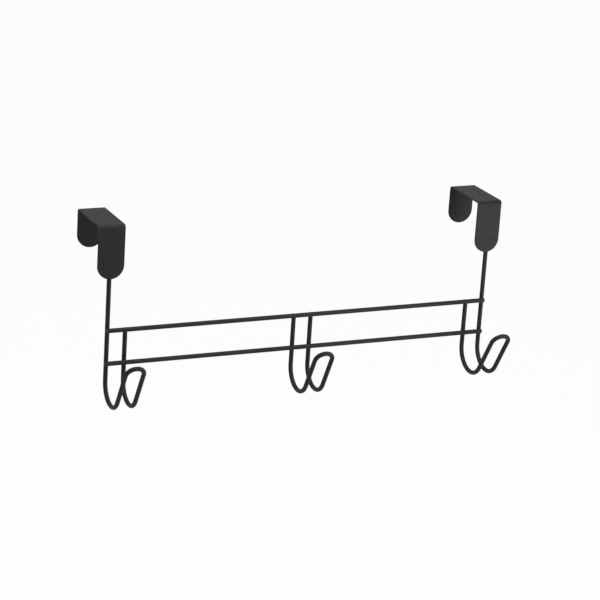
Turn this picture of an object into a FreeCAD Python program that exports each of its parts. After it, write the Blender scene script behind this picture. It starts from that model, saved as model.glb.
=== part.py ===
import FreeCAD, Part
import math
import os

# Over-door rail with three double hooks, in millimetres. Two strips of sheet, bent over the top edge of a
# door, carry bent hook wires, and two straight rail wires are welded across the fronts of the hooks' legs.
# X runs along the door, +Y goes through it from front to back and Z is up. The origin is the middle of the
# door's top edge: on the seats under the two straps, half way between them and half way across the door gap.

# Straps: flat strip with half-round ends, its long leg in front of the door and its short one behind it
strap_width = 25.0
strap_thickness = 1.5
strap_spacing = 373.0
strap_bend_radius = 1.5
strap_edge_bevel = 0.3
door_gap = 54.2
front_leg_length = 49.5
back_leg_length = 36.9

# Wire with its coat, how far two pieces sink together at a weld, and how far a leg reaches up behind a strap
wire_diameter = 4.15
wire_end_bevel = 0.3
weld_depth = 0.15
strap_weld_length = 30.0

# Rails: height of the upper one's centreline, the step to the lower one, and how far both ends reach past
# the outer side of a wire that lies at the middle of a strap
top_rail_drop = 95.6
rail_spacing = 30.9
rail_overhang = 0.3

# Hooks: two parallel legs, bent forward and up into two prongs, which are joined round the tip
hook_leg_spacing = 16.9
short_leg_above_rail = 0.25

# Each hook was bent and welded on by itself, so its bend, its prongs, its straight legs and its place differ
left_hook_bend_radius = 17.7
left_hook_bend_angle = 151.0
left_hook_prong_length = 35.7
left_hook_leg_below_rail = 17.6
centre_hook_bend_radius = 18.9
centre_hook_bend_angle = 152.5
centre_hook_prong_length = 33.3
centre_hook_leg_below_rail = 17.4
centre_hook_offset = 2.5
right_hook_bend_radius = 20.2
right_hook_bend_angle = 149.0
right_hook_prong_length = 36.3
right_hook_leg_below_rail = 13.4
right_hook_offset = 1.8

# Places along the door and through it, each wire from the piece that it is welded to
left_x = -strap_spacing / 2
right_x = strap_spacing / 2
front_leg_inner_y = -door_gap / 2
back_leg_inner_y = door_gap / 2
wire_radius = wire_diameter / 2
hook_wire_y = front_leg_inner_y + wire_radius - weld_depth
rail_y = hook_wire_y - wire_diameter + weld_depth

# Heights, from the seats down
front_leg_end_z = strap_thickness - front_leg_length
back_leg_end_z = strap_thickness - back_leg_length
long_leg_top_z = front_leg_end_z + strap_weld_length
top_rail_z = -top_rail_drop
bottom_rail_z = top_rail_z - rail_spacing
short_leg_top_z = top_rail_z + short_leg_above_rail


def vec(x, y, z):
    return FreeCAD.Vector(x, y, z)


def is_sharp(shape, edge):
    """True where the two faces beside an edge meet at a corner."""
    faces = shape.ancestorsOfType(edge, Part.Face)
    if len(faces) < 2:
        return False
    point = edge.valueAt((edge.FirstParameter + edge.LastParameter) / 2)
    normals = [face.normalAt(*face.Surface.parameter(point)) for face in faces]
    return normals[0].dot(normals[1]) < 0.9


def bevelled(shape, size):
    """The shape with its sharp edges bevelled."""
    return shape.makeChamfer(size, [edge for edge in shape.Edges if is_sharp(shape, edge)])


def strap_leg(x, inner_y, outward, end_z):
    """Flat leg with a half-round end, from its bend down. outward is -1 for the front leg, 1 for the back."""
    half = strap_width / 2
    left, right = x - half, x + half
    top_z = -strap_bend_radius
    round_z = end_z + half
    outline = Part.Wire([
        Part.LineSegment(vec(left, inner_y, top_z), vec(left, inner_y, round_z)).toShape(),
        Part.Arc(vec(left, inner_y, round_z), vec(x, inner_y, end_z), vec(right, inner_y, round_z)).toShape(),
        Part.LineSegment(vec(right, inner_y, round_z), vec(right, inner_y, top_z)).toShape(),
        Part.LineSegment(vec(right, inner_y, top_z), vec(left, inner_y, top_z)).toShape(),
    ])
    return Part.Face(outline).extrude(vec(0, outward * strap_thickness, 0))


def strap_bend(x, inner_y, outward):
    """Quarter bend from the top of a leg to the bridge."""
    left, right = x - strap_width / 2, x + strap_width / 2
    outer_y = inner_y + outward * strap_thickness
    z = -strap_bend_radius
    leg_section = Part.Face(Part.makePolygon([
        vec(left, inner_y, z),
        vec(right, inner_y, z),
        vec(right, outer_y, z),
        vec(left, outer_y, z),
        vec(left, inner_y, z),
    ]))
    bend_axis_y = inner_y - outward * strap_bend_radius
    return leg_section.revolve(vec(x, bend_axis_y, z), vec(outward, 0, 0), 90)


def make_strap(x):
    """One strip of sheet, bent down in front of the door and behind it."""
    bridge = Part.makeBox(
        strap_width,
        door_gap - 2 * strap_bend_radius,
        strap_thickness,
        vec(x - strap_width / 2, front_leg_inner_y + strap_bend_radius, 0),
    )
    strip = bridge.multiFuse([
        strap_bend(x, front_leg_inner_y, -1),
        strap_bend(x, back_leg_inner_y, 1),
        strap_leg(x, front_leg_inner_y, -1, front_leg_end_z),
        strap_leg(x, back_leg_inner_y, 1, back_leg_end_z),
    ])
    return bevelled(strip.removeSplitter(), strap_edge_bevel)


def prong_direction(bend_angle):
    """The way a prong rises from its bend, which starts out straight down and turns forward."""
    turned = math.radians(bend_angle)
    return vec(0, -math.sin(turned), -math.cos(turned))


def hook_side(x, top_z, bend_z, bend_radius, bend_angle, prong_length):
    """Centreline points down one leg of a hook, round its bend and up its prong."""
    def on_bend(degrees):
        turned = math.radians(degrees)
        forward = bend_radius * (1 - math.cos(turned))
        return vec(x, hook_wire_y - forward, bend_z - bend_radius * math.sin(turned))

    bend_end = on_bend(bend_angle)
    prong_end = bend_end + prong_direction(bend_angle) * prong_length
    return vec(x, hook_wire_y, top_z), on_bend(0), on_bend(bend_angle / 2), bend_end, prong_end


def make_hook(first_x, first_top_z, second_x, bend_radius, bend_angle, prong_length, leg_below_rail):
    """One wire: down the first leg, forward and up, round the tip, and back the same way to the second."""
    bend = (bottom_rail_z - leg_below_rail, bend_radius, bend_angle, prong_length)
    top_a, start_a, middle_a, end_a, prong_a = hook_side(first_x, first_top_z, *bend)
    top_b, start_b, middle_b, end_b, prong_b = hook_side(second_x, short_leg_top_z, *bend)
    tip = (prong_a + prong_b) * 0.5 + prong_direction(bend_angle) * (hook_leg_spacing / 2)
    centreline = Part.Wire([
        Part.LineSegment(top_a, start_a).toShape(),
        Part.Arc(start_a, middle_a, end_a).toShape(),
        Part.LineSegment(end_a, prong_a).toShape(),
        Part.Arc(prong_a, tip, prong_b).toShape(),
        Part.LineSegment(prong_b, end_b).toShape(),
        Part.Arc(end_b, middle_b, start_b).toShape(),
        Part.LineSegment(start_b, top_b).toShape(),
    ])
    section = Part.Wire(Part.makeCircle(wire_radius, top_a, vec(0, 0, -1)))
    return bevelled(centreline.makePipeShell([section], True, False), wire_end_bevel)


def make_rail(z):
    """Straight wire across the fronts of all the hook legs."""
    reach = strap_spacing / 2 + wire_radius + rail_overhang
    rail = Part.makeCylinder(wire_radius, 2 * reach, vec(-reach, rail_y, z), vec(1, 0, 0))
    return bevelled(rail, wire_end_bevel)


def make_hooks():
    """The outer hooks' outer legs are long and run up behind the straps. The others end at the top rail."""
    centre_left_x = centre_hook_offset - hook_leg_spacing / 2
    right_long_x = right_x + right_hook_offset
    return {
        "left_hook": make_hook(
            left_x, long_leg_top_z, left_x + hook_leg_spacing,
            left_hook_bend_radius, left_hook_bend_angle,
            left_hook_prong_length, left_hook_leg_below_rail),
        "centre_hook": make_hook(
            centre_left_x, short_leg_top_z, centre_left_x + hook_leg_spacing,
            centre_hook_bend_radius, centre_hook_bend_angle,
            centre_hook_prong_length, centre_hook_leg_below_rail),
        "right_hook": make_hook(
            right_long_x, long_leg_top_z, right_long_x - hook_leg_spacing,
            right_hook_bend_radius, right_hook_bend_angle,
            right_hook_prong_length, right_hook_leg_below_rail),
    }


def build():
    straps = {"left_strap": make_strap(left_x), "right_strap": make_strap(right_x)}
    # At the welds the long legs are flattened by the straps, and the rails are dented by the legs.
    hooks = {name: hook.cut(list(straps.values())) for name, hook in make_hooks().items()}
    rails = {"top_rail": make_rail(top_rail_z), "bottom_rail": make_rail(bottom_rail_z)}
    rails = {name: rail.cut(list(hooks.values())) for name, rail in rails.items()}
    return {**straps, **hooks, **rails}


os.makedirs("parts", exist_ok=True)
for name, shape in build().items():
    shape.exportStep(f"parts/{name}.step")
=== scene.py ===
import math

import bpy
import numpy as np
from mathutils import Matrix, Vector

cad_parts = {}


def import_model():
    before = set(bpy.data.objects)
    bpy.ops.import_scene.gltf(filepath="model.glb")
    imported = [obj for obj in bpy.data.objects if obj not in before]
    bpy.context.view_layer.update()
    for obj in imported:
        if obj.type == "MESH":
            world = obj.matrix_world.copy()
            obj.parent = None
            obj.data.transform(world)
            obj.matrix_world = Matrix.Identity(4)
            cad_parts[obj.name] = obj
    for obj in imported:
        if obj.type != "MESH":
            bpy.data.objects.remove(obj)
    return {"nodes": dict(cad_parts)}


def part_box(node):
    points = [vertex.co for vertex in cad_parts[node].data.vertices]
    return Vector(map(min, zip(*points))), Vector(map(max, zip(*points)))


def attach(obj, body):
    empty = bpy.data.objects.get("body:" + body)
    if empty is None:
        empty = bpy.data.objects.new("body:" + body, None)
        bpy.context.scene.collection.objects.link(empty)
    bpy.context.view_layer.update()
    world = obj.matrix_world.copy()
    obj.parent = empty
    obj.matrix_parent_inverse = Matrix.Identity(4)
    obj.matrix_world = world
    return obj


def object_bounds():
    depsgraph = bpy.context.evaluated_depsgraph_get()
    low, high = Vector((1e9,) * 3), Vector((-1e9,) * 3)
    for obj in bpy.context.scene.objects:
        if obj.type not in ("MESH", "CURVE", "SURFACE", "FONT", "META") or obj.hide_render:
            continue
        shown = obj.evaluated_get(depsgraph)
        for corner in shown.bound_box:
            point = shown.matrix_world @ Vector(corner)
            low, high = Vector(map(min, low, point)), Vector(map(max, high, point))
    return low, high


# Looks of an over-door hook rail, in metres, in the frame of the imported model: X along the door, +Y through
# it from front to back and Z up, with the origin in the middle of the door's top edge.

MM = 0.001
WHITE = (1.0, 1.0, 1.0, 1.0)

# Camera, as fitted to the photograph: turned round the object, raised above it and rolled a little
CAMERA_AZIMUTH = -25.01
CAMERA_ELEVATION = 18.16
CAMERA_ROLL = 3.725
CAMERA_DISTANCE = 2.1433
CAMERA_TARGET = Vector((-0.0122, -0.0498, -0.0734))
FOCAL_LENGTH_PX = 2377.6
PHOTO_WIDTH_PX = 600
SENSOR_WIDTH_MM = 36.0
CAMERA_CLIP = (0.05, 50.0)

# Powder coat: its colour lies between two shades and its roughness between two values, in patches of the
# given widths, and two sizes of bump lie in it. The noise that drives the roughness lies mostly in its range.
COAT_DARK = (0.0045, 0.0045, 0.0045, 1.0)
COAT_LIGHT = (0.0075, 0.0075, 0.0075, 1.0)
SHADE_WIDTH = 9.0 * MM
COAT_ROUGHNESS = (0.54, 0.64)
GLOSS_WIDTH = 4.0 * MM
COAT_SPECULAR = 0.19
PEEL_WIDTH = 1.3 * MM
PEEL_HEIGHT = 0.022 * MM
GRAIN_WIDTH = 0.28 * MM
GRAIN_HEIGHT = 0.003 * MM
NOISE_ROUGHNESS = 0.55
NOISE_RANGE = (0.3, 0.7)

# Coat and weld metal in the corners where two pieces meet: how far a fillet spreads from its corner, how deep
# its skin lies in the pieces elsewhere, how far from the contact it is made, and the step of its mesh. A seam
# behind a strap has a width and a mesh step of its own.
FILLET_SPREAD = 1.3 * MM
FILLET_SINK = 0.04 * MM
FILLET_REACH = 3.2 * MM
FILLET_STEP = 0.16 * MM
SEAM_WIDTH = 4.0 * MM
SEAM_STEP = 0.2 * MM

# Sizes of the pieces that the fillets follow and that their boxes don't give
STRAP_THICKNESS = 1.5 * MM
EDGE_BEVEL = 0.3 * MM

# Floor and background: how far below the object the floor lies, its size and colour, how much of it looks
# evenly white, the light that comes from all sides, and how bright the background looks
FLOOR_DROP = 435 * MM
FLOOR_RADIUS = 14.0
FLOOR_SIDES = 96
FLOOR_COLOUR = (0.97, 0.97, 0.97, 1.0)
FLOOR_EVENNESS = 0.94
WORLD_LIGHT = 0.5
BACKGROUND_LIGHT = 0.969

# Lamps: where each one stands, its width and height, and its radiance. They all face one point.
LAMP_TARGET = Vector((0.0, 0.0, -0.06))
LAMPS = {
    "overhead": ((0.0, -0.5, 1.3), 0.7, 0.8, 5.2),
    "above_bends": ((0.0, -0.24, 0.63), 0.25, 0.25, 14.0),
    "front": ((0.52, -1.15, 0.35), 0.6, 0.4, 0.6),
    "low_right": ((0.30, -0.45, -0.13), 0.2, 0.2, 15.0),
}


def node(tree, kind, values=None, **settings):
    """A new shader node with its settings and input values set."""
    made = tree.nodes.new(kind)
    for name, value in settings.items():
        setattr(made, name, value)
    for name, value in (values or {}).items():
        made.inputs[name].default_value = value
    return made


def noise(tree, place, width, detail):
    """Noise whose patches are about the given width across."""
    made = node(tree, "ShaderNodeTexNoise", {
        "Scale": 1 / width,
        "Detail": detail,
        "Roughness": NOISE_ROUGHNESS,
    })
    tree.links.new(place, made.inputs["Vector"])
    return made.outputs["Fac"]


def make_powder_coat():
    """Semi-matt black powder coat with a faint orange peel and a fine grain."""
    coat = bpy.data.materials.new("black_powder_coat")
    coat.use_nodes = True
    tree = coat.node_tree
    link = tree.links.new
    shader = tree.nodes["Principled BSDF"]
    shader.inputs["Specular IOR Level"].default_value = COAT_SPECULAR
    place = node(tree, "ShaderNodeTexCoord").outputs["Object"]

    shade = node(tree, "ShaderNodeMix", data_type="RGBA")
    shade.inputs["A"].default_value = COAT_DARK
    shade.inputs["B"].default_value = COAT_LIGHT
    link(noise(tree, place, SHADE_WIDTH, 3), shade.inputs["Factor"])
    link(shade.outputs["Result"], shader.inputs["Base Color"])

    noise_low, noise_high = NOISE_RANGE
    smoothest, roughest = COAT_ROUGHNESS
    gloss = node(tree, "ShaderNodeMapRange", {
        "From Min": noise_low,
        "From Max": noise_high,
        "To Min": smoothest,
        "To Max": roughest,
    })
    link(noise(tree, place, GLOSS_WIDTH, 2), gloss.inputs["Value"])
    link(gloss.outputs["Result"], shader.inputs["Roughness"])

    peel = node(tree, "ShaderNodeBump", {"Strength": 1.0, "Distance": PEEL_HEIGHT})
    link(noise(tree, place, PEEL_WIDTH, 1), peel.inputs["Height"])
    grain = node(tree, "ShaderNodeBump", {"Strength": 1.0, "Distance": GRAIN_HEIGHT})
    link(noise(tree, place, GRAIN_WIDTH, 2), grain.inputs["Height"])
    link(peel.outputs["Normal"], grain.inputs["Normal"])
    link(grain.outputs["Normal"], shader.inputs["Normal"])
    return coat


def grid_edges(axis, grid, values, step):
    """For the grid's edges along one axis: which cross the surface, which start inside it, and where."""
    starts = [slice(None)] * 3
    ends = [slice(None)] * 3
    starts[axis], ends[axis] = slice(None, -1), slice(1, None)
    first, second = values[tuple(starts)], values[tuple(ends)]
    crosses = (first < 0) != (second < 0)
    share = np.where(crosses, first / np.where(crosses, first - second, 1), 0)
    points = grid[tuple(starts)].copy()
    points[..., axis] += share * step
    return crosses, first < 0, points


def cell_points(edges, cells):
    """The mean of the crossings round each cell, and the number of each cell's point."""
    total, count = np.zeros((*cells, 3)), np.zeros(cells)
    for axis, (crosses, _, points) in enumerate(edges):
        u, v = (axis + 1) % 3, (axis + 2) % 3
        for shift_u, shift_v in ((0, 0), (0, 1), (1, 0), (1, 1)):
            side = [slice(None)] * 3
            side[u] = slice(shift_u, shift_u + cells[u])
            side[v] = slice(shift_v, shift_v + cells[v])
            here = crosses[tuple(side)]
            total += points[tuple(side)] * here[..., None]
            count += here
    used = count > 0
    number = np.full(cells, -1)
    number[used] = np.arange(used.sum())
    return total[used] / count[used][:, None], number


def cell_quads(edges, number):
    """A quad round each edge that crosses the surface, through the points of the four cells beside it."""
    quads = []
    for axis, (crosses, inside, _) in enumerate(edges):
        u, v = (axis + 1) % 3, (axis + 2) % 3
        for place in np.argwhere(crosses):
            if not (0 < place[u] < number.shape[u] and 0 < place[v] < number.shape[v]):
                continue
            quad = []
            for back_u, back_v in ((1, 1), (0, 1), (0, 0), (1, 0)):
                cell = place.copy()
                cell[u] -= back_u
                cell[v] -= back_v
                quad.append(int(number[tuple(cell)]))
            quads.append(quad if inside[tuple(place)] else quad[::-1])
    return quads


def surface_net(distance, low, high, step):
    """Points and quads of the surface where a distance function is zero, inside a box."""
    axes = [np.arange(a, b + step, step) for a, b in zip(low, high)]
    grid = np.stack(np.meshgrid(*axes, indexing="ij"), axis=-1)
    values = distance(grid)
    edges = [grid_edges(axis, grid, values, step) for axis in range(3)]
    points, number = cell_points(edges, tuple(n - 1 for n in values.shape))
    return points, cell_quads(edges, number)


def overlap(a, b):
    """Distance from what two shapes share, with the edge between them bevelled."""
    return np.maximum.reduce([a, b, (a + b + EDGE_BEVEL) / math.sqrt(2)])


def rail_distance(points, rail):
    """Distance from a wire that runs along X from one end to the other."""
    round_it = np.hypot(points[..., 1] - rail["y"], points[..., 2] - rail["z"]) - rail["radius"]
    left, right = rail["ends"]
    past_end = np.maximum(left - points[..., 0], points[..., 0] - right)
    return overlap(round_it, past_end)


def leg_distance(points, leg):
    """Distance from a wire that runs along Z and ends at its top."""
    round_it = np.hypot(points[..., 0] - leg["x"], points[..., 1] - leg["y"]) - leg["radius"]
    return overlap(round_it, points[..., 2] - leg["top"])


def strap_distance(points, strap):
    """Distance from the front leg of a strap: a flat strip along Z whose lower end is a half circle."""
    below_round = np.maximum(strap["round_z"] - points[..., 2], 0)
    past_outline = np.hypot(points[..., 0] - strap["x"], below_round) - strap["half_width"]
    past_faces = np.abs(points[..., 1] - strap["y"]) - STRAP_THICKNESS / 2
    return overlap(past_outline, past_faces)


def blended(a, b, spread):
    """Distance from two shapes with the corner between them filled."""
    near = np.maximum(spread - np.abs(a - b), 0) / spread
    return np.minimum(a, b) - near ** 2 * spread / 4


def add_piece(name, points, faces, material):
    """A smooth mesh that belongs to the object and moves with it."""
    mesh = bpy.data.meshes.new(name)
    mesh.from_pydata([tuple(p) for p in points], [], faces)
    mesh.shade_smooth()
    mesh.materials.append(material)
    piece = bpy.data.objects.new(name, mesh)
    bpy.context.scene.collection.objects.link(piece)
    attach(piece, "root")


def add_crossing_fillet(name, rail, leg, coat):
    """Fills the corner between a rail and the leg behind it."""
    contact = np.array([leg["x"], (leg["y"] + rail["y"]) / 2, rail["z"]])

    def distance(points):
        wires = blended(rail_distance(points, rail), leg_distance(points, leg), FILLET_SPREAD)
        ball = np.linalg.norm(points - contact, axis=-1) - FILLET_REACH
        return np.maximum(wires + FILLET_SINK, ball)

    margin = FILLET_REACH + 2 * FILLET_STEP
    points, faces = surface_net(distance, contact - margin, contact + margin, FILLET_STEP)
    add_piece(name, points, faces, coat)


def add_strap_seam(name, strap, leg, coat):
    """Fills the two long corners between a strap and the leg behind it."""
    seam_low = np.array([
        leg["x"] - SEAM_WIDTH / 2,
        strap["y"] - STRAP_THICKNESS,
        strap["round_z"] - strap["half_width"] - FILLET_SPREAD,
    ])
    seam_high = np.array([leg["x"] + SEAM_WIDTH / 2, leg["y"], leg["top"] + FILLET_SPREAD])

    def distance(points):
        metal = blended(strap_distance(points, strap), leg_distance(points, leg), FILLET_SPREAD)
        past_seam = np.maximum(seam_low - points, points - seam_high).max(axis=-1)
        return np.maximum(metal + FILLET_SINK, past_seam)

    margin = 2 * SEAM_STEP
    points, faces = surface_net(distance, seam_low - margin, seam_high + margin, SEAM_STEP)
    add_piece(name, points, faces, coat)


def rail_wire(name):
    """The middle, radius and ends of a rail, from its box."""
    low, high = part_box(name)
    radius = (high.z - low.z) / 2
    return {
        "y": low.y + radius,
        "z": (low.z + high.z) / 2,
        "radius": radius,
        "ends": (low.x, high.x),
    }


def strap_leg(name):
    """The middle, half width and half-round end of a strap's front leg, from the strap's box."""
    low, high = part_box(name)
    half_width = (high.x - low.x) / 2
    return {
        "x": low.x + half_width,
        "y": low.y + STRAP_THICKNESS / 2,
        "round_z": low.z + half_width,
        "half_width": half_width,
    }


def make_fillets(coat):
    """A fillet at each place where a leg crosses a rail, and a seam where a leg runs up behind a strap."""
    rails = {name: rail_wire(name) for name in ("top_rail", "bottom_rail")}
    radius = rails["top_rail"]["radius"]
    _, centre_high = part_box("centre_hook")
    for hook in ("left_hook", "centre_hook", "right_hook"):
        low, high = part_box(hook)
        # The left hook's left leg and the right hook's right one are long, and the other four are short.
        long_side = hook.removesuffix("_hook")
        for side, x in (("left", low.x + radius), ("right", high.x - radius)):
            top = high.z if side == long_side else centre_high.z
            leg = {"x": x, "y": high.y - radius, "radius": radius, "top": top}
            for rail_name, rail in rails.items():
                add_crossing_fillet(f"{rail_name}_weld_{hook}_{side}", rail, leg, coat)
            if side == long_side:
                add_strap_seam(f"{side}_strap_weld", strap_leg(f"{side}_strap"), leg, coat)


def seen_by_eye(tree, share):
    """The given share for camera, glossy and transmission rays, and nothing for those that carry light."""
    rays = node(tree, "ShaderNodeLightPath")
    total = rays.outputs["Is Camera Ray"]
    for kind in ("Is Glossy Ray", "Is Transmission Ray"):
        either = node(tree, "ShaderNodeMath", operation="MAXIMUM")
        tree.links.new(total, either.inputs[0])
        tree.links.new(rays.outputs[kind], either.inputs[1])
        total = either.outputs[0]
    part = node(tree, "ShaderNodeMath", operation="MULTIPLY")
    part.inputs[1].default_value = share
    tree.links.new(total, part.inputs[0])
    return part.outputs[0]


def mixed(tree, factor, first, second):
    """A mix of two shaders."""
    mix = node(tree, "ShaderNodeMixShader")
    tree.links.new(factor, mix.inputs["Fac"])
    tree.links.new(first, mix.inputs[1])
    tree.links.new(second, mix.inputs[2])
    return mix.outputs[0]


def make_floor(z):
    """Plain pale floor that reaches past every view and keeps a soft shadow."""
    bpy.ops.mesh.primitive_circle_add(
        vertices=FLOOR_SIDES, radius=FLOOR_RADIUS, fill_type="NGON", location=(0, 0, z))
    floor = bpy.context.object
    floor.name = "floor"
    paint = bpy.data.materials.new("floor_paint")
    paint.use_nodes = True
    tree = paint.node_tree
    tree.nodes.remove(tree.nodes["Principled BSDF"])
    lit = node(tree, "ShaderNodeBsdfDiffuse", {"Color": FLOOR_COLOUR})
    plain = node(tree, "ShaderNodeEmission", {"Color": WHITE, "Strength": 1.0})
    surface = mixed(tree, seen_by_eye(tree, FLOOR_EVENNESS), lit.outputs[0], plain.outputs[0])
    tree.links.new(surface, tree.nodes["Material Output"].inputs["Surface"])
    floor.data.materials.append(paint)


def make_world():
    """Even studio light, with a white background for the camera, for gloss and for glass."""
    world = bpy.data.worlds.new("studio")
    world.use_nodes = True
    tree = world.node_tree
    light = tree.nodes["Background"]
    light.inputs["Color"].default_value = WHITE
    light.inputs["Strength"].default_value = WORLD_LIGHT
    white = node(tree, "ShaderNodeBackground", {"Color": WHITE, "Strength": BACKGROUND_LIGHT})
    surface = mixed(tree, seen_by_eye(tree, 1.0), light.outputs[0], white.outputs[0])
    tree.links.new(surface, tree.nodes["World Output"].inputs["Surface"])
    bpy.context.scene.world = world


def add_softbox(name, place, width, height, radiance):
    """A rectangular lamp that faces the object and shines with the given radiance."""
    lamp = bpy.data.lights.new(name, "AREA")
    lamp.shape = "RECTANGLE"
    lamp.size, lamp.size_y = width, height
    lamp.energy = radiance * math.pi * width * height
    box = bpy.data.objects.new(name, lamp)
    box.location = place
    box.rotation_euler = (LAMP_TARGET - Vector(place)).to_track_quat("-Z", "Y").to_euler()
    box.visible_camera = False
    bpy.context.scene.collection.objects.link(box)


def make_lights():
    """The plain soft lamps of the studio."""
    for name, (place, width, height, radiance) in LAMPS.items():
        add_softbox(name, place, width, height, radiance)


def make_camera():
    """The camera at the photograph's angle and distance."""
    turn = (
        Matrix.Rotation(math.radians(CAMERA_AZIMUTH), 4, "Z")
        @ Matrix.Rotation(math.radians(90 - CAMERA_ELEVATION), 4, "X")
        @ Matrix.Rotation(math.radians(CAMERA_ROLL), 4, "Z")
    )
    back_away = Matrix.Translation((0, 0, CAMERA_DISTANCE))
    lens = bpy.data.cameras.new("camera")
    lens.sensor_width = SENSOR_WIDTH_MM
    lens.lens = FOCAL_LENGTH_PX / PHOTO_WIDTH_PX * SENSOR_WIDTH_MM
    lens.clip_start, lens.clip_end = CAMERA_CLIP
    camera = bpy.data.objects.new("camera", lens)
    camera.matrix_world = Matrix.Translation(CAMERA_TARGET) @ turn @ back_away
    bpy.context.scene.collection.objects.link(camera)
    bpy.context.scene.camera = camera


def main():
    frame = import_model()
    cad_low, cad_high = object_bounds()
    coat = make_powder_coat()
    for part in frame["nodes"].values():
        part.data.materials.clear()
        part.data.materials.append(coat)
    make_fillets(coat)
    make_floor(cad_low.z - FLOOR_DROP)
    make_world()
    make_lights()
    make_camera()
    bpy.context.scene.view_settings.view_transform = "Standard"


main()
